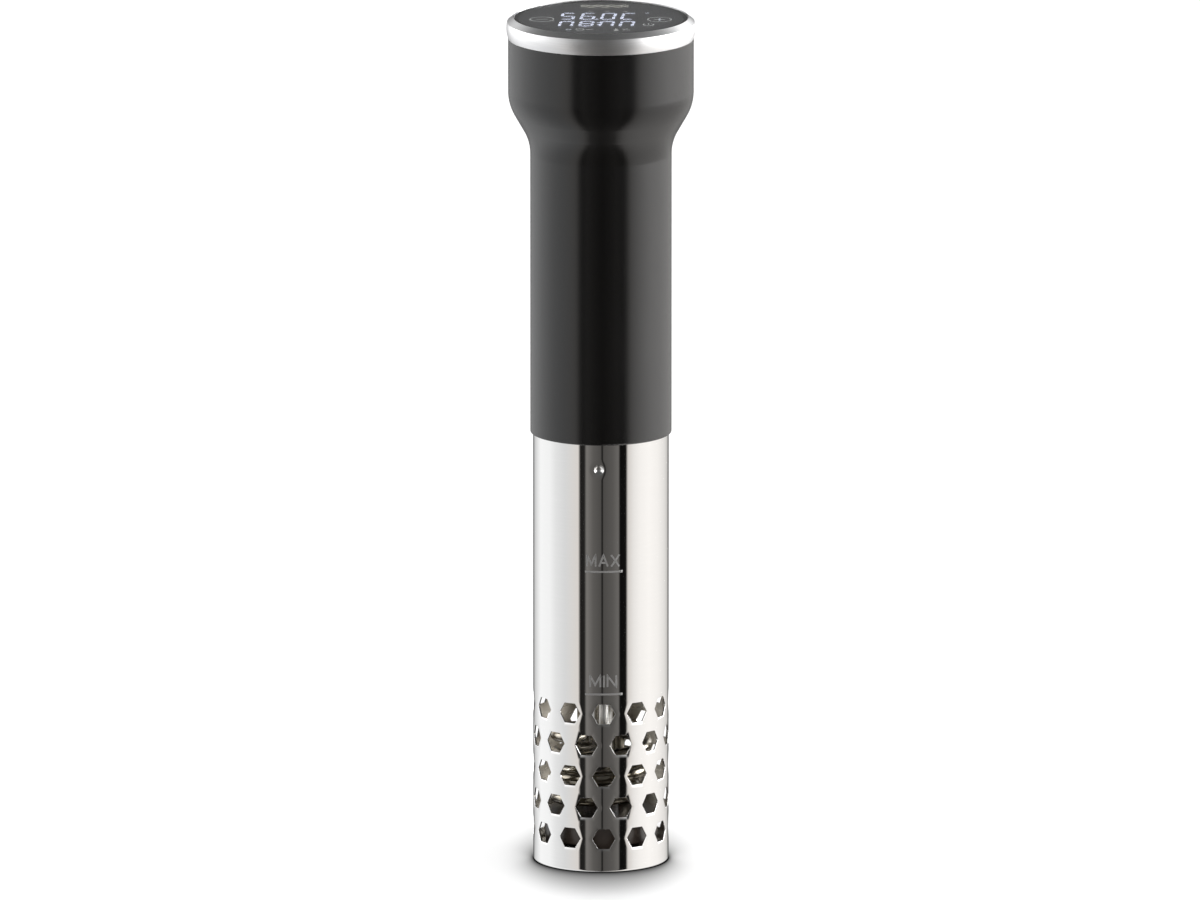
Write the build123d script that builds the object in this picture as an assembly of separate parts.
from build123d import *

import math
import os

# Sous vide circulator, in millimetres. Z is up and the origin is the centre of the sleeve's bottom rim.
# The front is -Y, where the level marks are, and the back is +Y, with the cord inlet and the clamp.
# Angles round the axis are in degrees from the front, positive towards +X.

# Heights of the main pieces along the axis.
HOUSING_BOTTOM = 186.0
SLEEVE_TOP = 190.0
HOUSING_STEP = 190.2
SHOULDER_BOTTOM = 307.0
HOUSING_TOP = 357.0
OVERALL_HEIGHT = 366.0

# Radii of the visible pieces.
SLEEVE_R = 28.9
GRIP_R = 30.1
HEAD_R = 39.5
RING_R = 40.2
LENS_R = 37.0

# Housing.
HOUSING_WALL = 2.2
HOUSING_BORE_R = GRIP_R - HOUSING_WALL
HEAD_BORE_R = HEAD_R - HOUSING_WALL
SLEEVE_SOCKET_R = SLEEVE_R + 0.15
SHOULDER_ARC = 20.0
SHOULDER_SLOPE = math.radians(30)
HOUSING_BOSS_ANGLES = (0, 120, 240)
HOUSING_BOSS_RADIUS = 34.6

# Sleeve, its hexagonal holes and its pressed dimples.
SLEEVE_WALL = 0.8
SLEEVE_BORE_R = SLEEVE_R - SLEEVE_WALL
SLEEVE_LIP_R = 25.5
HOLE_ACROSS_FLATS = 8.5
HOLE_ROWS = 5
HOLES_PER_ROW = 12
HOLE_FIRST_ROW = 14.4
HOLE_ROW_PITCH = 13.6
SLEEVE_CLOCK = 2.5
DIMPLE_HEIGHT = 175.3
DIMPLE_ANGLES = (-1.7, 118.3, 238.3)
DIMPLE_CENTRE_R = 30.5
DENT_R = 2.6
BUMP_R = 3.3

# Base flange: the plug that closes the housing and carries the heater and the pump.
FLANGE_BOTTOM = 164.0
FLANGE_FLOOR = 172.0
FLANGE_TOP = 200.0
FLANGE_R = 27.9
FLANGE_UPPER_R = 27.7
FLANGE_CUP_R = 23.0
BEARING_BOSS_R = 7.2
BEARING_BOSS_TOP = 184.0
BEARING_R = 5.5
SEAL_TOP = 176.0
KEYWAY_WIDTH = 5.2
KEYWAY_FLOOR_R = 26.9
KEYWAY_TOP = 178.5
SLEEVE_ORING_Z = 184.0
HOUSING_ORING_Z = 192.0
ORING_SECTION_R = 1.0
FLANGE_SCREW_X = 23.4
FLANGE_SCREW_Y = 9.3

# Heater and sensors.
HEATER_TUBE_R = 3.0
HEATER_COIL_R = 19.0
HEATER_LEG_R = 12.5
HEATER_BOTTOM = 24.5
HEATER_PITCH = 9.0
HEATER_TURNS = 3.5
HEATER_BEND_R = 4.5
HEATER_TOP = HEATER_BOTTOM + HEATER_PITCH * HEATER_TURNS
HEATER_LEG_TOP = 180.0
HEATER_LOWER_LEG_ANGLE = 145.0
HEATER_LEG_ANGLES = (HEATER_LOWER_LEG_ANGLE, HEATER_LOWER_LEG_ANGLE - 180)
HEATER_NUT_FLATS = 9.0
BLADE_HALF_THICKNESS = 0.4
PROBE_R = 1.9
PROBE_CIRCLE_R = 24.2
PROBE_ANGLE = SLEEVE_CLOCK
PROBE_BOTTOM = 62.0
PROBE_TOP = 170.0
LEVEL_PROBE_R = 1.4
LEVEL_PROBE_ANGLES = (40, -75)
LEVEL_PROBE_BOTTOM = 74.0

# Pump and its drive line.
SHAFT_R = 2.5
SHAFT_BOTTOM = 8.0
SHAFT_TOP = 203.0
BUSH_BORE_R = SHAFT_R + 0.05
TUBE_R = 5.0
TUBE_BORE_R = 4.0
TUBE_BOTTOM = 19.0
PUMP_R = 24.0
PUMP_WALL = 2.0
PUMP_BOTTOM = 6.5
PUMP_TOP = 21.0
PUMP_BOSS_CIRCLE_R = 20.0
PUMP_BOSS_ANGLES = (0, 120, 240)
PUMP_WINDOWS = 6
IMPELLER_R = 16.5
IMPELLER_BLADES = 6
GRILLE_R = 26.5
GRILLE_BOTTOM = 4.0
GRILLE_SLOTS = 12
GRILLE_RECESS = 1.2

# Motor.
MOTOR_R = 18.5
MOTOR_BOTTOM = 218.5
MOTOR_TOP = 264.0
MOTOR_BORE_R = 17.3
MOTOR_SHAFT_R = 2.0
MOTOR_SHAFT_BOTTOM = 204.0
MOTOR_BEARING_R = 5.0
MOTOR_BEARING_BORE_R = MOTOR_SHAFT_R + 0.05
MOTOR_BEARING_HEIGHT = 4.0
MOTOR_CAP_BEARING_HEIGHT = 3.5
MOTOR_MOUNT_BOTTOM = 214.0
MOTOR_MOUNT_TOP = 217.0
MOTOR_MOUNT_BORE_R = 8.0
MOTOR_SCREW_Y = 12.0

# Chassis, boards and the parts on them.
RAIL_INNER_X = 24.5
RAIL_OUTER_X = 26.5
RAIL_HALF_WIDTH = 5.0
CHASSIS_FOOT_HEIGHT = 2.0
CHASSIS_PLATE_BOTTOM = 348.5
CHASSIS_PLATE_TOP = 350.5
BOARD_BOTTOM = 274.0
BOARD_TOP = 341.0
BOARD_HALF_THICKNESS = 0.8
DISPLAY_BOARD_R = 33.0
DISPLAY_BOARD_BOTTOM = 352.0
DISPLAY_BOARD_TOP = 353.6
DISPLAY_SCREW_CIRCLE_R = 31.0
DISPLAY_SCREW_ANGLES = (45, 135, 225, 315)
LENS_BOTTOM = 363.7
LENS_TOP = 365.7
TOUCH_KEYS = ((-25.1, -3.5), (24.9, -3.9), (20.2, -14.9), (-13.8, -25.6), (9.0, -25.6))
GASKET_LEDGE_Z = 363.2
RING_SEAL_Z = 355.0
RING_SEAL_SECTION_R = 0.6

# Cord gland, on the back of the head.
GLAND_Z = 339.0
GLAND_BORE_R = 3.6
GLAND_BARREL_R = 5.0
GLAND_FLANGE_R = 8.0
GLAND_SPOT_Y = 38.5
GLAND_SEAL_Y = 39.3
GLAND_INNER_Y = 28.0
GLAND_OUTER_Y = 45.0

# Clamp that hangs the circulator on the rim of a pot, on the back of the grip.
CLAMP_HALF_WIDTH = 13.0
JAW_FACE_Y = 34.0
JAW_BOTTOM = 130.0
BLOCK_FACE_Y = 36.5
BLOCK_BOTTOM = 197.0
BLOCK_TOP = 240.0
PIVOT_Y = 44.0
PIVOT_Z = 216.0
PIN_R = 1.98
PIN_HOLE_R = 2.03
EAR_R = 6.5
EAR_INNER_X = 9.6
LEVER_HALF_WIDTH = 11.0
LEVER_TOP = 262.0
KNUCKLE_HALF_WIDTH = 9.2
SPRING_SLOT_HALF_WIDTH = 4.6
SPRING_CLOCK = 270
PAD_FACE_Y = 34.4
PAD_BACK_Y = 36.6
CLAMP_SCREW_HEIGHTS = (203.0, 235.0)
GRIP_GROOVE_HEIGHTS = (134.0, 138.0, 142.0)

# How far a cutting shape runs past the face that it cuts.
OVERCUT = 1.0

STANDING = (Align.CENTER, Align.CENTER, Align.MIN)
CORNER = (Align.MIN, Align.MIN, Align.MIN)


# Shapes used again and again.

def disc(radius, z_low, z_high, x=0.0, y=0.0):
    """Solid cylinder with a vertical axis."""
    return Pos(x, y, z_low) * Cylinder(radius, z_high - z_low, align=STANDING)


def tube(outer, inner, z_low, z_high, x=0.0, y=0.0):
    """Cylinder with a vertical axis and a hole right through it."""
    return disc(outer, z_low, z_high, x, y) - disc(inner, z_low - OVERCUT, z_high + OVERCUT, x, y)


def rod_x(radius, x_low, x_high, y, z):
    """Cylinder along X."""
    return Pos(x_low, y, z) * Rot(0, 90, 0) * Cylinder(radius, x_high - x_low, align=STANDING)


def rod_y(radius, y_low, y_high, x, z):
    """Cylinder along Y."""
    return Pos(x, y_low, z) * Rot(-90, 0, 0) * Cylinder(radius, y_high - y_low, align=STANDING)


def block(x_low, x_high, y_low, y_high, z_low, z_high):
    """Box between six planes."""
    size = (x_high - x_low, y_high - y_low, z_high - z_low)
    return Pos(x_low, y_low, z_low) * Box(*size, align=CORNER)


def rounded_block(half_width, y_low, y_high, z_low, z_high, corner):
    """Box centred on X 0 whose vertical edges are rounded."""
    section = RectangleRounded(2 * half_width, y_high - y_low, corner)
    return Pos(0, (y_low + y_high) / 2, z_low) * extrude(section, amount=z_high - z_low)


def both_sides(shape):
    """A shape and its mirror image in the YZ plane."""
    return [shape, mirror(shape, about=Plane.YZ)]


def turned(points):
    """Solid of revolution about Z with the given (radius, height) outline."""
    outline = Polyline([(radius, 0, z) for radius, z in points], close=True)
    return revolve(make_face(outline), axis=Axis.Z)


def at_angles(shape, angles):
    """Copies of a shape turned about Z to each angle."""
    return [Rot(0, 0, angle) * shape for angle in angles]


def spaced(count, first=0.0):
    """Angles of count features spread evenly round the axis."""
    return [first + index * 360 / count for index in range(count)]


def on_circle(radius, angle):
    """X and Y of a point on a circle round the axis, at an angle from the front."""
    turn = math.radians(angle)
    return radius * math.sin(turn), -radius * math.cos(turn)


def hexagon(flats, z_low, z_high, x, y):
    """Hexagonal prism with a vertical axis."""
    section = RegularPolygon(flats / math.sqrt(3), 6)
    return Pos(x, y, z_low) * extrude(section, amount=z_high - z_low)


def screw(head_r, head_length, shank_r, shank_length):
    """Screw whose head stands on Z 0, with its shank pointing down."""
    return disc(head_r, 0, head_length) + disc(shank_r, -shank_length, 0)


def along(path, radius, is_frenet=False):
    """Round bar that follows a path."""
    section = Plane(origin=path @ 0, z_dir=path % 0) * Circle(radius)
    return sweep(section, path=path, is_frenet=is_frenet)


def wire_coil(pitch, turns, radius, wire_r):
    """Round wire wound in a helix about Z, from a start at Z 0 on +X."""
    return along(Helix(pitch, pitch * turns, radius), wire_r, is_frenet=True)


def group(shapes):
    """Separate solids that share one node."""
    return Compound([solid for shape in shapes for solid in shape.solids()])


# Housing, display and inlet.

def shouldered(inset, z_low, z_high):
    """Grip, shoulder and head as one solid of revolution, with its surface moved inward by inset."""
    grip = GRIP_R - inset
    head = HEAD_R - inset
    hollow_arc = SHOULDER_ARC + inset
    round_arc = SHOULDER_ARC - inset
    flank = (HEAD_R - GRIP_R - 2 * SHOULDER_ARC * (1 - math.cos(SHOULDER_SLOPE))) / math.sin(SHOULDER_SLOPE)
    rise = 2 * SHOULDER_ARC * math.sin(SHOULDER_SLOPE) + flank * math.cos(SHOULDER_SLOPE)
    shoulder_top = SHOULDER_BOTTOM + rise

    def low(angle):
        return grip + hollow_arc * (1 - math.cos(angle)), 0, SHOULDER_BOTTOM + hollow_arc * math.sin(angle)

    def high(angle):
        return head - round_arc * (1 - math.cos(angle)), 0, shoulder_top - round_arc * math.sin(angle)

    half = SHOULDER_SLOPE / 2
    outline = [
        Line((0, 0, z_low), (grip, 0, z_low)),
        Line((grip, 0, z_low), low(0)),
        ThreePointArc(low(0), low(half), low(SHOULDER_SLOPE)),
        Line(low(SHOULDER_SLOPE), high(SHOULDER_SLOPE)),
        ThreePointArc(high(SHOULDER_SLOPE), high(half), high(0)),
        Line(high(0), (head, 0, z_high)),
        Line((head, 0, z_high), (0, 0, z_high)),
        Line((0, 0, z_high), (0, 0, z_low)),
    ]
    return revolve(make_face(outline), axis=Axis.Z)


def housing():
    """Grip and head in one shell, open at both ends, with screw bosses inside the head."""
    bottom_rounding = 0.7
    boss_r = 3.2
    boss_bottom = 338.0
    pilot_r = 1.3
    pilot_bottom = 341.0
    clamp_hole_r = 1.55
    shell = shouldered(0, HOUSING_BOTTOM, HOUSING_TOP)
    bottom_edge = shell.edges().filter_by(GeomType.CIRCLE).sort_by(Axis.Z)[0]
    shell = fillet(bottom_edge, radius=bottom_rounding)
    shell -= shouldered(HOUSING_WALL, HOUSING_STEP, HOUSING_TOP + OVERCUT)
    shell -= disc(SLEEVE_SOCKET_R, HOUSING_BOTTOM - OVERCUT, HOUSING_STEP)
    boss = disc(boss_r, boss_bottom, CHASSIS_PLATE_BOTTOM, 0, -HOUSING_BOSS_RADIUS)
    pilot = disc(pilot_r, pilot_bottom, CHASSIS_PLATE_BOTTOM + OVERCUT, 0, -HOUSING_BOSS_RADIUS)
    shell += at_angles(boss, HOUSING_BOSS_ANGLES)
    shell -= at_angles(pilot, HOUSING_BOSS_ANGLES)
    shell -= rod_y(GLAND_FLANGE_R + 0.4, GLAND_SPOT_Y, GLAND_OUTER_Y, 0, GLAND_Z)
    shell -= rod_y(GLAND_BARREL_R + 0.1, GLAND_INNER_Y, GLAND_OUTER_Y, 0, GLAND_Z)
    shell -= [rod_y(clamp_hole_r, HOUSING_BORE_R - 3, GRIP_R + 3, 0, z) for z in CLAMP_SCREW_HEIGHTS]
    return shell


def trim_ring():
    """Barrel-shaped ring with a bevel down to the glass, a ledge under it and a grooved spigot below."""
    inner_r = LENS_R + 0.15
    ledge_r = 35.0
    foot_r = RING_R - 0.8
    belly_z = 360.8
    bevel_r = RING_R - 0.3
    bevel_z = 364.0
    lip_width = 0.15
    spigot_r = HEAD_BORE_R - 0.1
    spigot_bottom = 353.0
    groove_r = 36.0
    groove_half_height = 0.7
    inside = [(foot_r, HOUSING_TOP), (spigot_r, HOUSING_TOP), (spigot_r, spigot_bottom),
              (ledge_r, spigot_bottom), (ledge_r, GASKET_LEDGE_Z), (inner_r, GASKET_LEDGE_Z),
              (inner_r, OVERALL_HEIGHT), (inner_r + lip_width, OVERALL_HEIGHT), (bevel_r, bevel_z)]
    outline = [
        Polyline([(radius, 0, z) for radius, z in inside]),
        ThreePointArc((bevel_r, 0, bevel_z), (RING_R, 0, belly_z), (foot_r, 0, HOUSING_TOP)),
    ]
    ring = revolve(make_face(outline), axis=Axis.Z)
    groove_bottom = RING_SEAL_Z - groove_half_height
    return ring - tube(spigot_r + OVERCUT, groove_r, groove_bottom, RING_SEAL_Z + groove_half_height)


def display_lens():
    edge_rounding = 0.3
    lens = disc(LENS_R, LENS_BOTTOM, LENS_TOP)
    rim = lens.edges().filter_by(GeomType.CIRCLE).sort_by(Axis.Z)[-1]
    return fillet(rim, radius=edge_rounding)


def lens_gasket():
    return tube(36.9, 35.1, GASKET_LEDGE_Z, LENS_BOTTOM)


def ring_seal():
    """O-ring in the groove of the trim ring's spigot, just short of the housing's bore."""
    centre_r = HEAD_BORE_R - RING_SEAL_SECTION_R - 0.05
    return Pos(0, 0, RING_SEAL_Z) * Torus(centre_r, RING_SEAL_SECTION_R)


def display_board():
    hole_r = 1.0
    board = disc(DISPLAY_BOARD_R, DISPLAY_BOARD_BOTTOM, DISPLAY_BOARD_TOP)
    hole = disc(hole_r, DISPLAY_BOARD_BOTTOM - OVERCUT, DISPLAY_BOARD_TOP + OVERCUT, 0,
                -DISPLAY_SCREW_CIRCLE_R)
    return board - at_angles(hole, DISPLAY_SCREW_ANGLES)


def display_screws():
    one = screw(head_r=1.9, head_length=1.2, shank_r=0.95, shank_length=3)
    placed = Pos(0, -DISPLAY_SCREW_CIRCLE_R, DISPLAY_BOARD_TOP) * one
    return group(at_angles(placed, DISPLAY_SCREW_ANGLES))


def led_display():
    """Display module with a shallow recess for each of its two rows of four digits."""
    digit_width = 6.6
    digit_height = 11.4
    digit_pitch = 8.6
    first_digit_x = -18.0
    module_top = 361.6
    recess_depth = 0.4
    body = block(-19.7, 16.3, -19.3, 10.7, DISPLAY_BOARD_TOP, module_top)
    recess = block(0, digit_width, 0, digit_height, module_top - recess_depth, module_top + OVERCUT)
    return body - [Pos(first_digit_x + digit_pitch * place, row_y, 0) * recess
                   for place in range(4) for row_y in (-19.0, -4.0)]


def indicator_leds():
    """Small lamps for the connection light and the two function signs."""
    half_length = 0.8
    half_width = 0.4
    height = 0.7
    places = ((19.6, 9.9), (-7.2, -25.6), (0.8, -25.6))
    lamp = block(-half_length, half_length, -half_width, half_width, DISPLAY_BOARD_TOP,
                 DISPLAY_BOARD_TOP + height)
    return group([Pos(x, y, 0) * lamp for x, y in places])


def touch_springs():
    """Springs that carry the touch keys' signal from the glass to the board."""
    wire_r = 0.3
    coil_r = 2.2
    turns = 3.75
    end_gap = 0.05
    height = LENS_BOTTOM - DISPLAY_BOARD_TOP - 2 * (wire_r + end_gap)
    coil = wire_coil(height / turns, turns, coil_r, wire_r)
    base = DISPLAY_BOARD_TOP + wire_r + end_gap
    return group([Pos(x, y, base) * coil for x, y in TOUCH_KEYS])


def buzzer():
    body_r = 5.0
    sound_hole_r = 1.0
    body_top = 358.0
    return tube(body_r, sound_hole_r, DISPLAY_BOARD_TOP, body_top, 0, 22)


def ribbon_cable():
    """Flat cable that lies on the power board and rises to the display board."""
    half_width = 10.0
    thickness = 0.8
    front = -BOARD_HALF_THICKNESS - thickness
    return block(-half_width, half_width, front, -BOARD_HALF_THICKNESS, 334, DISPLAY_BOARD_BOTTOM)


def cord_gland():
    """Bushing for the mains cord: barrel through the wall, flange outside it and a collar."""
    collar_r = 6.0
    flange_outer_y = 42.0
    barrel = rod_y(GLAND_BARREL_R, GLAND_INNER_Y, GLAND_SEAL_Y, 0, GLAND_Z)
    flange = rod_y(GLAND_FLANGE_R, GLAND_SEAL_Y, flange_outer_y, 0, GLAND_Z)
    collar = rod_y(collar_r, flange_outer_y, GLAND_OUTER_Y, 0, GLAND_Z)
    bore = rod_y(GLAND_BORE_R, GLAND_INNER_Y - OVERCUT, GLAND_OUTER_Y + OVERCUT, 0, GLAND_Z)
    return barrel + flange + collar - bore


def gland_hole(y_low, y_high):
    """Hole that slips over the gland's barrel."""
    return rod_y(GLAND_BARREL_R + 0.05, y_low - OVERCUT, y_high + OVERCUT, 0, GLAND_Z)


def gland_nut():
    flats = 14.0
    nut_low_y = 32.3
    nut_high_y = 36.2
    nut = Rot(-90, 0, 0) * hexagon(flats, 0, nut_high_y - nut_low_y, 0, 0)
    return Pos(0, nut_low_y, GLAND_Z) * nut - gland_hole(nut_low_y, nut_high_y)


def gland_seal():
    washer = rod_y(GLAND_FLANGE_R, GLAND_SPOT_Y, GLAND_SEAL_Y, 0, GLAND_Z)
    return washer - gland_hole(GLAND_SPOT_Y, GLAND_SEAL_Y)


# Chassis and electronics.

def chassis():
    """Two rails that hold the board and the motor, and a plate on top that carries the display board."""
    foot_top = FLANGE_TOP + CHASSIS_FOOT_HEIGHT
    foot_hole_r = 1.3
    groove_half_width = BOARD_HALF_THICKNESS + 0.05
    groove_end_gap = 0.1
    plate_outer_r = 36.5
    plate_inner_r = 28.0
    plate_hole_r = 1.4
    rail = block(RAIL_INNER_X, RAIL_OUTER_X, -RAIL_HALF_WIDTH, RAIL_HALF_WIDTH, FLANGE_TOP, CHASSIS_PLATE_TOP)
    groove = block(RAIL_INNER_X - 1, RAIL_INNER_X + 1, -groove_half_width, groove_half_width,
                   BOARD_BOTTOM - groove_end_gap, BOARD_TOP + groove_end_gap)
    foot = block(21.5, 27, -12, 12, FLANGE_TOP, foot_top) & disc(27.6, FLANGE_TOP, foot_top)
    foot_holes = [disc(foot_hole_r, FLANGE_TOP - OVERCUT, foot_top + OVERCUT, FLANGE_SCREW_X, y)
                  for y in (-FLANGE_SCREW_Y, FLANGE_SCREW_Y)]
    tab = block(20, RAIL_INNER_X, -RAIL_HALF_WIDTH, RAIL_HALF_WIDTH, MOTOR_MOUNT_BOTTOM - 2,
                MOTOR_MOUNT_BOTTOM)
    arm = block(RAIL_INNER_X, 30, -RAIL_HALF_WIDTH, RAIL_HALF_WIDTH, CHASSIS_PLATE_BOTTOM, CHASSIS_PLATE_TOP)
    side = rail - groove + (foot - foot_holes) + tab + arm
    plate = tube(plate_outer_r, plate_inner_r, CHASSIS_PLATE_BOTTOM, CHASSIS_PLATE_TOP)
    plate_hole = disc(plate_hole_r, CHASSIS_PLATE_BOTTOM - OVERCUT, CHASSIS_PLATE_TOP + OVERCUT, 0,
                      -HOUSING_BOSS_RADIUS)
    plate -= at_angles(plate_hole, HOUSING_BOSS_ANGLES)
    post = tube(2.5, 1.0, CHASSIS_PLATE_TOP, DISPLAY_BOARD_BOTTOM, 0, -DISPLAY_SCREW_CIRCLE_R)
    return plate + both_sides(side) + at_angles(post, DISPLAY_SCREW_ANGLES)


def chassis_screws():
    one = screw(head_r=2.3, head_length=1.5, shank_r=1.25, shank_length=8)
    placed = Pos(0, -HOUSING_BOSS_RADIUS, CHASSIS_PLATE_TOP) * one
    return group(at_angles(placed, HOUSING_BOSS_ANGLES))


def flange_screws():
    one = screw(head_r=2.1, head_length=1.6, shank_r=1.2, shank_length=8)
    placed = Pos(FLANGE_SCREW_X, FLANGE_SCREW_Y, FLANGE_TOP + CHASSIS_FOOT_HEIGHT) * one
    return group(both_sides(placed) + both_sides(mirror(placed, about=Plane.XZ)))


def power_board():
    return block(-25.4, 25.4, -BOARD_HALF_THICKNESS, BOARD_HALF_THICKNESS, BOARD_BOTTOM, BOARD_TOP)


def transformer():
    """Wound bobbin with its core round it, on the front of the power board."""
    board_y = -BOARD_HALF_THICKNESS
    bobbin = block(-14, 4, board_y - 15, board_y, 283, 299)
    core = block(-17, 7, board_y - 11, board_y - 4, 280, 302)
    return bobbin + core


def capacitors():
    can_r = 4.5
    can_length = 15.0
    board_y = -BOARD_HALF_THICKNESS
    return group([rod_y(can_r, board_y - can_length, board_y, 15, z) for z in (286, 297)])


def relay():
    return block(-20, -1, BOARD_HALF_THICKNESS, 16, 279, 295)


def triac_heatsink():
    """Finned block on the back of the power board."""
    half_width = 12.0
    base_y = 3.5
    fin_tip_y = 15.0
    fin_thickness = 1.2
    fin_count = 5
    sink_bottom = 302.0
    sink_top = 324.0
    base = block(-half_width, half_width, BOARD_HALF_THICKNESS, base_y, sink_bottom, sink_top)
    fin = block(0, fin_thickness, base_y, fin_tip_y, sink_bottom, sink_top)
    pitch = (2 * half_width - fin_thickness) / (fin_count - 1)
    return base + [Pos(-half_width + pitch * index, 0, 0) * fin for index in range(fin_count)]


def terminal_block():
    """Three-way block with a wire hole in each way."""
    wire_hole_r = 1.8
    way_pitch = 10.0
    block_bottom = 328.0
    block_top = 338.0
    outer_y = 11.0
    hole_floor_y = 4.0
    body = block(-1.5 * way_pitch, 1.5 * way_pitch, BOARD_HALF_THICKNESS, outer_y, block_bottom, block_top)
    middle_z = (block_bottom + block_top) / 2
    return body - [rod_y(wire_hole_r, hole_floor_y, outer_y + OVERCUT, x, middle_z)
                   for x in (-way_pitch, 0, way_pitch)]


# Motor.

def motor_screw_holes(z_low, z_high):
    hole_r = 1.5
    return [disc(hole_r, z_low - OVERCUT, z_high + OVERCUT, 0, y) for y in (-MOTOR_SCREW_Y, MOTOR_SCREW_Y)]


def motor_mount():
    plate = tube(RAIL_INNER_X - 0.1, MOTOR_MOUNT_BORE_R, MOTOR_MOUNT_BOTTOM, MOTOR_MOUNT_TOP)
    return plate - motor_screw_holes(MOTOR_MOUNT_BOTTOM, MOTOR_MOUNT_TOP)


def motor_isolator():
    """Rubber ring that keeps the motor's hum out of the mount."""
    ring = tube(18, MOTOR_MOUNT_BORE_R, MOTOR_MOUNT_TOP, MOTOR_BOTTOM)
    return ring - motor_screw_holes(MOTOR_MOUNT_TOP, MOTOR_BOTTOM)


def motor_can():
    """Drawn cup with a raised seat for the lower bearing."""
    floor_top = 221.0
    seat_r = 6.5
    outline = [(MOTOR_BEARING_R, MOTOR_BOTTOM), (MOTOR_R, MOTOR_BOTTOM), (MOTOR_R, MOTOR_TOP),
               (MOTOR_BORE_R, MOTOR_TOP), (MOTOR_BORE_R, floor_top), (seat_r, floor_top),
               (seat_r, MOTOR_BOTTOM + MOTOR_BEARING_HEIGHT),
               (MOTOR_BEARING_R, MOTOR_BOTTOM + MOTOR_BEARING_HEIGHT)]
    return turned(outline) - motor_screw_holes(MOTOR_BOTTOM, floor_top)


def motor_end_cap():
    """Lid of the motor, with a chamfered edge and a seat for the upper bearing."""
    cap_top = 270.5
    chamfer = 1.5
    shaft_well_r = 2.3
    well_top = cap_top - chamfer
    seat_top = MOTOR_TOP + MOTOR_CAP_BEARING_HEIGHT
    outline = [(MOTOR_BEARING_R, MOTOR_TOP), (MOTOR_R, MOTOR_TOP), (MOTOR_R, well_top),
               (MOTOR_R - chamfer, cap_top), (0, cap_top), (0, well_top), (shaft_well_r, well_top),
               (shaft_well_r, seat_top), (MOTOR_BEARING_R, seat_top)]
    return turned(outline)


def motor_magnets():
    """Two arc magnets inside the can."""
    inner_r = 15.0
    magnet_bottom = 228.0
    magnet_top = 258.0
    half_gap = 3.0
    ring = tube(MOTOR_BORE_R, inner_r, magnet_bottom, magnet_top)
    gap = block(-half_gap, half_gap, -MOTOR_R, MOTOR_R, magnet_bottom - OVERCUT, magnet_top + OVERCUT)
    return group([ring - gap])


def motor_bearings():
    lower = tube(MOTOR_BEARING_R, MOTOR_BEARING_BORE_R, MOTOR_BOTTOM, MOTOR_BOTTOM + MOTOR_BEARING_HEIGHT)
    upper = tube(MOTOR_BEARING_R, MOTOR_BEARING_BORE_R, MOTOR_TOP, MOTOR_TOP + MOTOR_CAP_BEARING_HEIGHT)
    return group([lower, upper])


def motor_screws():
    one = screw(head_r=2.8, head_length=2, shank_r=1.45, shank_length=6.8)
    placed = Pos(0, MOTOR_SCREW_Y, MOTOR_MOUNT_BOTTOM) * Rot(180, 0, 0) * one
    return group([placed, mirror(placed, about=Plane.XZ)])


def motor_rotor():
    """Motor shaft with its slotted core and its commutator."""
    core_r = 14.4
    core_bottom = 230.0
    core_top = 254.0
    slot_half_width = 1.2
    slot_floor_r = 9.0
    slot_count = 5
    slot = block(-slot_half_width, slot_half_width, -core_r - OVERCUT, -slot_floor_r, core_bottom - OVERCUT,
                 core_top + OVERCUT)
    core = disc(core_r, core_bottom, core_top) - at_angles(slot, spaced(slot_count))
    commutator = disc(5.5, 256, 261)
    return disc(MOTOR_SHAFT_R, MOTOR_SHAFT_BOTTOM, 268) + core + commutator


# Base flange and the drive line that passes through it.

def base_flange():
    """Plug between the sleeve and the housing: a cup with a bearing boss and two O-ring grooves."""
    screw_hole_r = 1.25
    screw_hole_bottom = 193.8
    groove_depth = 1.9
    groove_half_height = 1.2
    body = disc(FLANGE_R, FLANGE_BOTTOM, SLEEVE_TOP) + disc(FLANGE_UPPER_R, SLEEVE_TOP, FLANGE_TOP)
    body -= disc(FLANGE_CUP_R, FLANGE_FLOOR, FLANGE_TOP + OVERCUT)
    body += disc(BEARING_BOSS_R, FLANGE_FLOOR, BEARING_BOSS_TOP)
    body -= disc(TUBE_R, FLANGE_BOTTOM - OVERCUT, FLANGE_FLOOR)
    body -= disc(BEARING_R, FLANGE_FLOOR, BEARING_BOSS_TOP + OVERCUT)
    for z, outer in ((SLEEVE_ORING_Z, FLANGE_R), (HOUSING_ORING_Z, FLANGE_UPPER_R)):
        body -= tube(outer + OVERCUT, outer - groove_depth, z - groove_half_height, z + groove_half_height)
    half = KEYWAY_WIDTH / 2
    keyway = block(-half, half, -FLANGE_R - OVERCUT, -KEYWAY_FLOOR_R, FLANGE_BOTTOM - OVERCUT, KEYWAY_TOP)
    body -= at_angles(keyway, DIMPLE_ANGLES)
    leg_hole = disc(HEATER_TUBE_R, FLANGE_BOTTOM - OVERCUT, FLANGE_FLOOR + OVERCUT, 0, -HEATER_LEG_R)
    body -= at_angles(leg_hole, HEATER_LEG_ANGLES)
    probe_hole = disc(PROBE_R, FLANGE_BOTTOM - OVERCUT, PROBE_TOP, 0, -PROBE_CIRCLE_R)
    body -= at_angles(probe_hole, [PROBE_ANGLE])
    level_hole = disc(LEVEL_PROBE_R, FLANGE_BOTTOM - OVERCUT, PROBE_TOP, 0, -PROBE_CIRCLE_R)
    body -= at_angles(level_hole, LEVEL_PROBE_ANGLES)
    body -= [disc(screw_hole_r, screw_hole_bottom, FLANGE_TOP + OVERCUT, x, y)
             for x in (-FLANGE_SCREW_X, FLANGE_SCREW_X) for y in (-FLANGE_SCREW_Y, FLANGE_SCREW_Y)]
    return body


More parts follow.
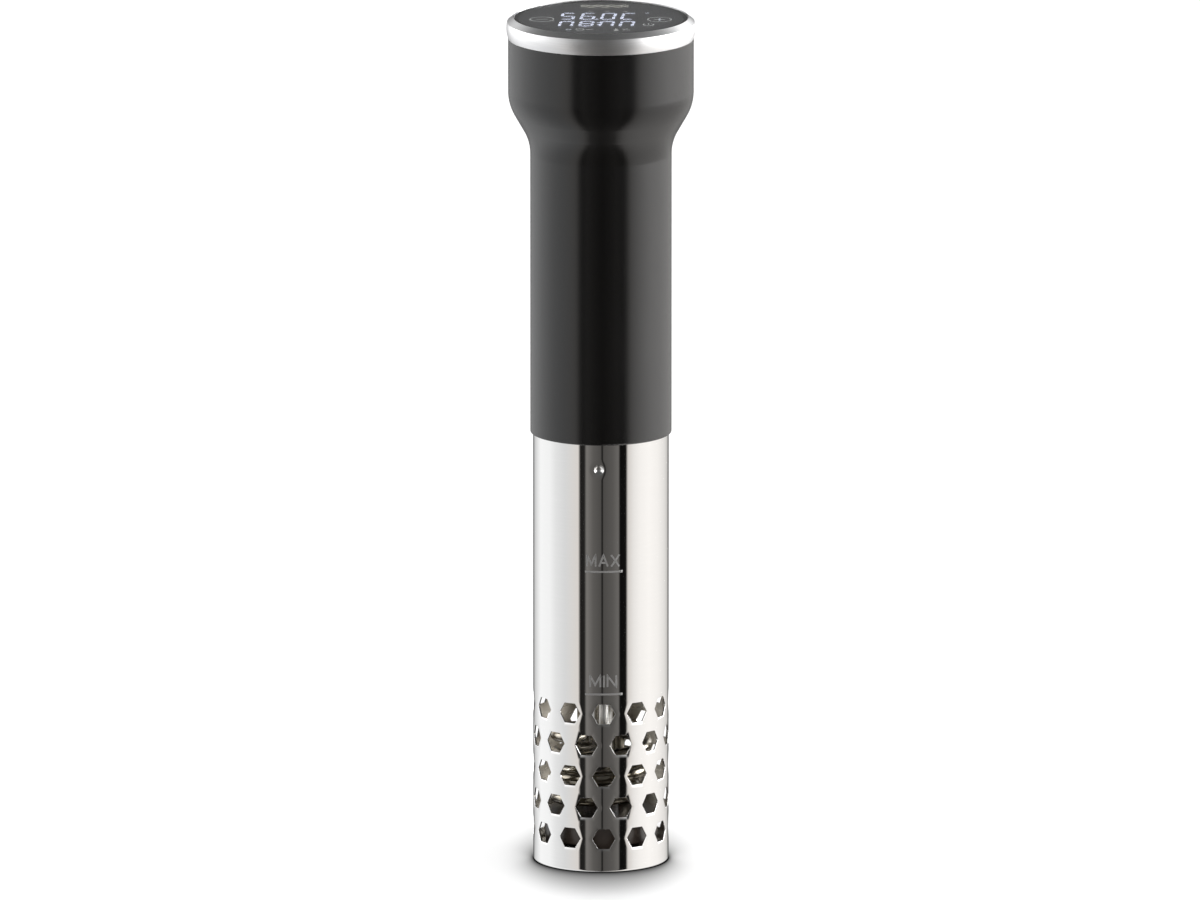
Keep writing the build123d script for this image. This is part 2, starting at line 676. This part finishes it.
def flange_oring(flange_r, z):
    """O-ring that stands just proud of the flange."""
    proud = 0.1
    return Pos(0, 0, z) * Torus(flange_r + proud - ORING_SECTION_R, ORING_SECTION_R)


def sleeve_oring():
    return flange_oring(FLANGE_R, SLEEVE_ORING_Z)


def housing_oring():
    return flange_oring(FLANGE_UPPER_R, HOUSING_ORING_Z)


def shaft_seal():
    return tube(BEARING_R, BUSH_BORE_R, FLANGE_FLOOR, SEAL_TOP)


def upper_bearing():
    return tube(BEARING_R, BUSH_BORE_R, SEAL_TOP, SEAL_TOP + 5)


def shaft_tube():
    return tube(TUBE_R, TUBE_BORE_R, TUBE_BOTTOM, FLANGE_FLOOR)


def lower_bush():
    return tube(TUBE_BORE_R, BUSH_BORE_R, TUBE_BOTTOM, TUBE_BOTTOM + 8)


def drive_shaft():
    return disc(SHAFT_R, SHAFT_BOTTOM, SHAFT_TOP)


def shaft_coupling():
    """Coupling that flexes at two slits cut from opposite sides."""
    coupling_r = 6.0
    coupling_bottom = 196.0
    coupling_top = 211.0
    slit_height = 0.6
    slit_reach = 3.5
    body = disc(coupling_r, coupling_bottom, coupling_top)
    body -= disc(SHAFT_R, coupling_bottom - OVERCUT, SHAFT_TOP + 0.5)
    body -= disc(MOTOR_SHAFT_R, SHAFT_TOP, coupling_top + OVERCUT)
    past = coupling_r + OVERCUT
    slit = block(-past, slit_reach, -past, past, 0, slit_height)
    return body - [Pos(0, 0, 201.6) * slit, Pos(0, 0, 205) * Rot(0, 0, 180) * slit]


# Heater and sensors.

def heater_coil():
    """Sheathed heater: a coil whose two ends turn inward and rise through the flange."""
    joint_r = HEATER_TUBE_R + 0.15
    coil = Pos(0, 0, HEATER_BOTTOM) * wire_coil(HEATER_PITCH, HEATER_TURNS, HEATER_COIL_R, HEATER_TUBE_R)
    for side, z in ((1, HEATER_BOTTOM), (-1, HEATER_TOP)):
        coil_end = (side * HEATER_COIL_R, 0, z)
        corner = (side * HEATER_LEG_R, 0, z)
        leg_end = (side * HEATER_LEG_R, 0, HEATER_LEG_TOP)
        coil += Pos(*coil_end) * Sphere(joint_r)
        coil += along(FilletPolyline(coil_end, corner, leg_end, radius=HEATER_BEND_R), HEATER_TUBE_R)
    return Rot(0, 0, HEATER_LOWER_LEG_ANGLE - 90) * coil


def heater_nuts():
    nut_top = FLANGE_FLOOR + 4
    nut = hexagon(HEATER_NUT_FLATS, FLANGE_FLOOR, nut_top, 0, -HEATER_LEG_R)
    nut -= disc(HEATER_TUBE_R, FLANGE_FLOOR - OVERCUT, nut_top + OVERCUT, 0, -HEATER_LEG_R)
    return group(at_angles(nut, HEATER_LEG_ANGLES))


def heater_terminals():
    """Pin and flat blade on each end of the heater."""
    pin_r = 1.2
    pin_top = HEATER_LEG_TOP + 4
    blade_half_width = 3.1
    blade_top = pin_top + 8
    pin = disc(pin_r, HEATER_LEG_TOP, pin_top, 0, -HEATER_LEG_R)
    blade = block(-blade_half_width, blade_half_width, -HEATER_LEG_R - BLADE_HALF_THICKNESS,
                  -HEATER_LEG_R + BLADE_HALF_THICKNESS, pin_top, blade_top)
    return group(at_angles(pin + blade, HEATER_LEG_ANGLES))


def thermal_cutout():
    """Button thermostat on the flange's floor, with two flat blades."""
    centre_r = 15.5
    angle = 55
    button_r = 6.0
    button_top = FLANGE_FLOOR + 5
    blade_half_width = 1.5
    body = disc(button_r, FLANGE_FLOOR, button_top, 0, -centre_r)
    blade = block(-blade_half_width, blade_half_width, -centre_r - BLADE_HALF_THICKNESS,
                  -centre_r + BLADE_HALF_THICKNESS, button_top, button_top + 6)
    return Rot(0, 0, angle) * (body + [Pos(x, 0, 0) * blade for x in (-3, 3)])


def temperature_probe():
    x, y = on_circle(PROBE_CIRCLE_R, PROBE_ANGLE)
    tip = Pos(x, y, PROBE_BOTTOM + PROBE_R) * Sphere(PROBE_R)
    return disc(PROBE_R, PROBE_BOTTOM + PROBE_R, PROBE_TOP, x, y) + tip


def level_probes():
    rod = disc(LEVEL_PROBE_R, LEVEL_PROBE_BOTTOM, PROBE_TOP, 0, -PROBE_CIRCLE_R)
    return group(at_angles(rod, LEVEL_PROBE_ANGLES))


# Pump.

def pump_housing():
    """Cup over the impeller, with outlet windows low in its wall and a hub that grips the shaft tube."""
    hub_r = 7.5
    hub_top = 24.5
    boss_r = 2.6
    pilot_r = 1.0
    pilot_top = 16.0
    window_half_width = 5.0
    window_bottom = 7.2
    window_top = 10.4
    cup = disc(PUMP_R, PUMP_BOTTOM, PUMP_TOP)
    cup -= disc(PUMP_R - PUMP_WALL, PUMP_BOTTOM - OVERCUT, TUBE_BOTTOM)
    cup += disc(hub_r, PUMP_TOP, hub_top)
    cup += at_angles(disc(boss_r, PUMP_BOTTOM, TUBE_BOTTOM, 0, -PUMP_BOSS_CIRCLE_R), PUMP_BOSS_ANGLES)
    cup -= disc(TUBE_R, TUBE_BOTTOM - OVERCUT, hub_top + OVERCUT)
    window = block(-window_half_width, window_half_width, -PUMP_R - OVERCUT, -PUMP_BOSS_CIRCLE_R,
                   window_bottom, window_top)
    cup -= at_angles(window, spaced(PUMP_WINDOWS, 30))
    pilot = disc(pilot_r, PUMP_BOTTOM - OVERCUT, pilot_top, 0, -PUMP_BOSS_CIRCLE_R)
    cup -= at_angles(pilot, PUMP_BOSS_ANGLES)
    return cup


def impeller():
    """Hub, back plate and curved blades, open towards the inlet below."""
    blade_arc_r = 12.3
    blade_half_thickness = 0.7
    blade_bottom = 9.0
    plate_bottom = 16.5
    plate_top = 18.0
    hub_r = 5.0
    blade = tube(blade_arc_r + blade_half_thickness, blade_arc_r - blade_half_thickness, blade_bottom,
                 plate_bottom, 0, blade_arc_r)
    blade = blade & block(0, 20, -20, 20, blade_bottom, plate_bottom)
    blade = blade & tube(IMPELLER_R, hub_r - 0.5, blade_bottom, plate_bottom)
    wheel = disc(IMPELLER_R, plate_bottom, plate_top) + disc(hub_r, SHAFT_BOTTOM, plate_top)
    wheel += at_angles(blade, spaced(IMPELLER_BLADES))
    return wheel - disc(SHAFT_R, SHAFT_BOTTOM - OVERCUT, plate_top + OVERCUT)


def inlet_grille():
    """Slotted plate under the pump, with a recess for the head of each screw."""
    slot_half_width = 1.5
    slot_inner_r = 8.0
    slot_outer_r = 17.0
    hole_r = 1.05
    recess_r = 2.1
    plate = disc(GRILLE_R, GRILLE_BOTTOM, PUMP_BOTTOM)
    slot = block(-slot_half_width, slot_half_width, -slot_outer_r, -slot_inner_r, GRILLE_BOTTOM - OVERCUT,
                 PUMP_BOTTOM + OVERCUT)
    hole = disc(hole_r, GRILLE_BOTTOM - OVERCUT, PUMP_BOTTOM + OVERCUT, 0, -PUMP_BOSS_CIRCLE_R)
    recess = disc(recess_r, GRILLE_BOTTOM - OVERCUT, GRILLE_BOTTOM + GRILLE_RECESS, 0, -PUMP_BOSS_CIRCLE_R)
    plate -= at_angles(slot, spaced(GRILLE_SLOTS, 15))
    plate -= at_angles(hole, PUMP_BOSS_ANGLES)
    return plate - at_angles(recess, PUMP_BOSS_ANGLES)


def grille_screws():
    one = Rot(180, 0, 0) * screw(head_r=2.0, head_length=GRILLE_RECESS, shank_r=0.95, shank_length=9)
    placed = Pos(0, -PUMP_BOSS_CIRCLE_R, GRILLE_BOTTOM + GRILLE_RECESS) * one
    return group(at_angles(placed, PUMP_BOSS_ANGLES))


# Sleeve.

def sleeve():
    """Steel tube with an inward lip at its foot, three pressed dimples and rows of hexagonal holes."""
    foot_rounding = 1.0
    wall = turned([(SLEEVE_LIP_R, 0), (SLEEVE_R, 0), (SLEEVE_R, SLEEVE_TOP), (SLEEVE_BORE_R, SLEEVE_TOP),
                   (SLEEVE_BORE_R, SLEEVE_WALL), (SLEEVE_LIP_R, SLEEVE_WALL)])
    bottom_edges = wall.edges().filter_by(GeomType.CIRCLE).group_by(Axis.Z)[0]
    wall = fillet(bottom_edges.sort_by(SortBy.RADIUS)[-1], radius=foot_rounding)
    centre = Pos(0, -DIMPLE_CENTRE_R, DIMPLE_HEIGHT)
    inside = disc(SLEEVE_BORE_R + 0.3, DIMPLE_HEIGHT - 2 * BUMP_R, SLEEVE_TOP)
    bump = centre * Sphere(BUMP_R) & inside
    wall += at_angles(bump, DIMPLE_ANGLES)
    wall -= at_angles(centre * Sphere(DENT_R), DIMPLE_ANGLES)
    section = RegularPolygon(HOLE_ACROSS_FLATS / math.sqrt(3), 6)
    hole = extrude(Plane.XZ.offset(SLEEVE_BORE_R - 2) * section, amount=4)
    half_step = 180 / HOLES_PER_ROW
    for row in range(HOLE_ROWS):
        first = SLEEVE_CLOCK + half_step * (row % 2)
        level = Pos(0, 0, HOLE_FIRST_ROW + row * HOLE_ROW_PITCH) * hole
        wall -= at_angles(level, spaced(HOLES_PER_ROW, first))
    return wall


# Clamp.

def clamp_bracket():
    """Fixed jaw, screwed to the back of the grip, with two ears for the lever's pin."""
    width = CLAMP_HALF_WIDTH
    inner_y = 20.0
    jaw_rounding = 1.5
    block_rounding = 2.5
    screw_hole_r = 1.5
    screw_hole_end_y = 35.2
    groove_depth = 0.5
    body = rounded_block(width, inner_y, JAW_FACE_Y, JAW_BOTTOM, BLOCK_TOP, jaw_rounding)
    body += rounded_block(width, inner_y, BLOCK_FACE_Y, BLOCK_BOTTOM, BLOCK_TOP, block_rounding)
    body -= block(-width - OVERCUT, width + OVERCUT, inner_y - OVERCUT, 26, JAW_BOTTOM - OVERCUT,
                  BLOCK_TOP + OVERCUT)
    ear = rod_x(EAR_R, EAR_INNER_X, width, PIVOT_Y, PIVOT_Z)
    ear += block(EAR_INNER_X, width, JAW_FACE_Y, PIVOT_Y, PIVOT_Z - EAR_R, PIVOT_Z + EAR_R)
    body += both_sides(ear)
    body -= disc(GRIP_R, JAW_BOTTOM - OVERCUT, BLOCK_TOP + OVERCUT)
    body -= rod_x(PIN_HOLE_R, -width - OVERCUT, width + OVERCUT, PIVOT_Y, PIVOT_Z)
    body -= [rod_y(screw_hole_r, GRIP_R - OVERCUT, screw_hole_end_y, 0, z) for z in CLAMP_SCREW_HEIGHTS]
    groove = block(-width - OVERCUT, width + OVERCUT, JAW_FACE_Y - groove_depth, JAW_FACE_Y + OVERCUT, 0, 1)
    return body - [Pos(0, 0, z) * groove for z in GRIP_GROOVE_HEIGHTS]


def clamp_lever():
    """Sprung jaw below the pin and finger pad above it, bowed outward to clear a pot's rim."""
    outline = Polyline([
        (0, PAD_BACK_Y, JAW_BOTTOM), (0, PAD_BACK_Y, 147), (0, 45.8, 157), (0, 46.4, 198),
        (0, 42.5, 209), (0, 42.5, 222), (0, 49, LEVER_TOP), (0, 53, LEVER_TOP),
        (0, 50.5, 226), (0, 50, 206), (0, 51, 197), (0, 50.2, 154), (0, 41, 144), (0, 41, JAW_BOTTOM),
    ], close=True)
    edge_rounding = 1.4
    corner_rounding = 4.0
    knuckle_r = 6.0
    spring_slot_r = 7.5
    past = LEVER_HALF_WIDTH + OVERCUT
    side = fillet(make_face(outline).vertices(), radius=edge_rounding)
    body = extrude(side, amount=LEVER_HALF_WIDTH, dir=(1, 0, 0), both=True)
    front = RectangleRounded(2 * LEVER_HALF_WIDTH, LEVER_TOP - JAW_BOTTOM, corner_rounding)
    body &= Pos(0, 60, (LEVER_TOP + JAW_BOTTOM) / 2) * extrude(Plane.XZ * front, amount=30)
    ear_room = block(KNUCKLE_HALF_WIDTH, past, 30, 60, PIVOT_Z - 13, PIVOT_Z + 13.5)
    body -= both_sides(ear_room)
    body += rod_x(knuckle_r, -KNUCKLE_HALF_WIDTH, KNUCKLE_HALF_WIDTH, PIVOT_Y, PIVOT_Z)
    body -= rod_x(spring_slot_r, -SPRING_SLOT_HALF_WIDTH, SPRING_SLOT_HALF_WIDTH, PIVOT_Y, PIVOT_Z)
    body -= rod_x(PIN_HOLE_R, -past, past, PIVOT_Y, PIVOT_Z)
    finger_groove = block(-past, past, 52.2, 54, 0, 1.4)
    return body - [Pos(0, 0, z) * finger_groove for z in (244, 248, 252, 256)]


def jaw_pad():
    """Rubber pad on the sprung jaw, with grooves across it."""
    half_width = 10.0
    groove_depth = 0.7
    pad = block(-half_width, half_width, PAD_FACE_Y, PAD_BACK_Y, 131, 146)
    groove = block(-half_width - OVERCUT, half_width + OVERCUT, PAD_FACE_Y - OVERCUT,
                   PAD_FACE_Y + groove_depth, 0, 1)
    return pad - [Pos(0, 0, z) * groove for z in GRIP_GROOVE_HEIGHTS]


def clamp_pin():
    head_r = 2.9
    head_length = 1.0
    pin = rod_x(PIN_R, -CLAMP_HALF_WIDTH, CLAMP_HALF_WIDTH, PIVOT_Y, PIVOT_Z)
    head = rod_x(head_r, CLAMP_HALF_WIDTH, CLAMP_HALF_WIDTH + head_length, PIVOT_Y, PIVOT_Z)
    return pin + both_sides(head)


def clamp_spring():
    """Torsion spring on the pin: one end bears on the bracket, the other on the lever."""
    wire_r = 0.6
    coil_r = 3.6
    turns = 3.75
    half_width = 3.0
    coil = Rot(0, 90, 0) * wire_coil(2 * half_width / turns, turns, coil_r, wire_r)
    spring = Pos(-half_width, PIVOT_Y, PIVOT_Z) * Rot(SPRING_CLOCK, 0, 0) * coil
    lever_end = (-half_width, PIVOT_Y - coil_r, PIVOT_Z)
    lever_leg = Line(lever_end, (-half_width, PIVOT_Y - 0.6, PIVOT_Z + 16))
    bracket_end = (half_width, PIVOT_Y, PIVOT_Z + coil_r)
    spring += [Pos(*point) * Sphere(wire_r + 0.05) for point in (lever_end, bracket_end)]
    spring += along(lever_leg, wire_r)
    spring += rod_y(wire_r, BLOCK_FACE_Y, PIVOT_Y, half_width, PIVOT_Z + coil_r)
    return spring


def clamp_screws():
    """Screws driven from inside the grip into the bracket."""
    seat_y = 27.75
    one = Rot(90, 0, 0) * screw(head_r=2.75, head_length=1.85, shank_r=1.45, shank_length=7)
    return group([Pos(0, seat_y, z) * one for z in CLAMP_SCREW_HEIGHTS])


SUB_PARTS = (
    housing, trim_ring, display_lens, lens_gasket, ring_seal, display_board, display_screws, led_display,
    indicator_leds, touch_springs, buzzer, ribbon_cable, cord_gland, gland_nut, gland_seal, chassis,
    chassis_screws, flange_screws, power_board, transformer, capacitors, relay, triac_heatsink,
    terminal_block, motor_mount, motor_isolator, motor_can, motor_end_cap, motor_magnets, motor_bearings,
    motor_screws, motor_rotor, base_flange, sleeve_oring, housing_oring, shaft_seal, upper_bearing,
    shaft_tube, lower_bush, drive_shaft, shaft_coupling, heater_coil, heater_nuts, heater_terminals,
    thermal_cutout, temperature_probe, level_probes, pump_housing, impeller, inlet_grille, grille_screws,
    sleeve, clamp_bracket, clamp_lever, jaw_pad, clamp_pin, clamp_spring, clamp_screws,
)

os.makedirs("parts", exist_ok=True)
for make in SUB_PARTS:
    export_step(make(), f"parts/{make.__name__}.step")
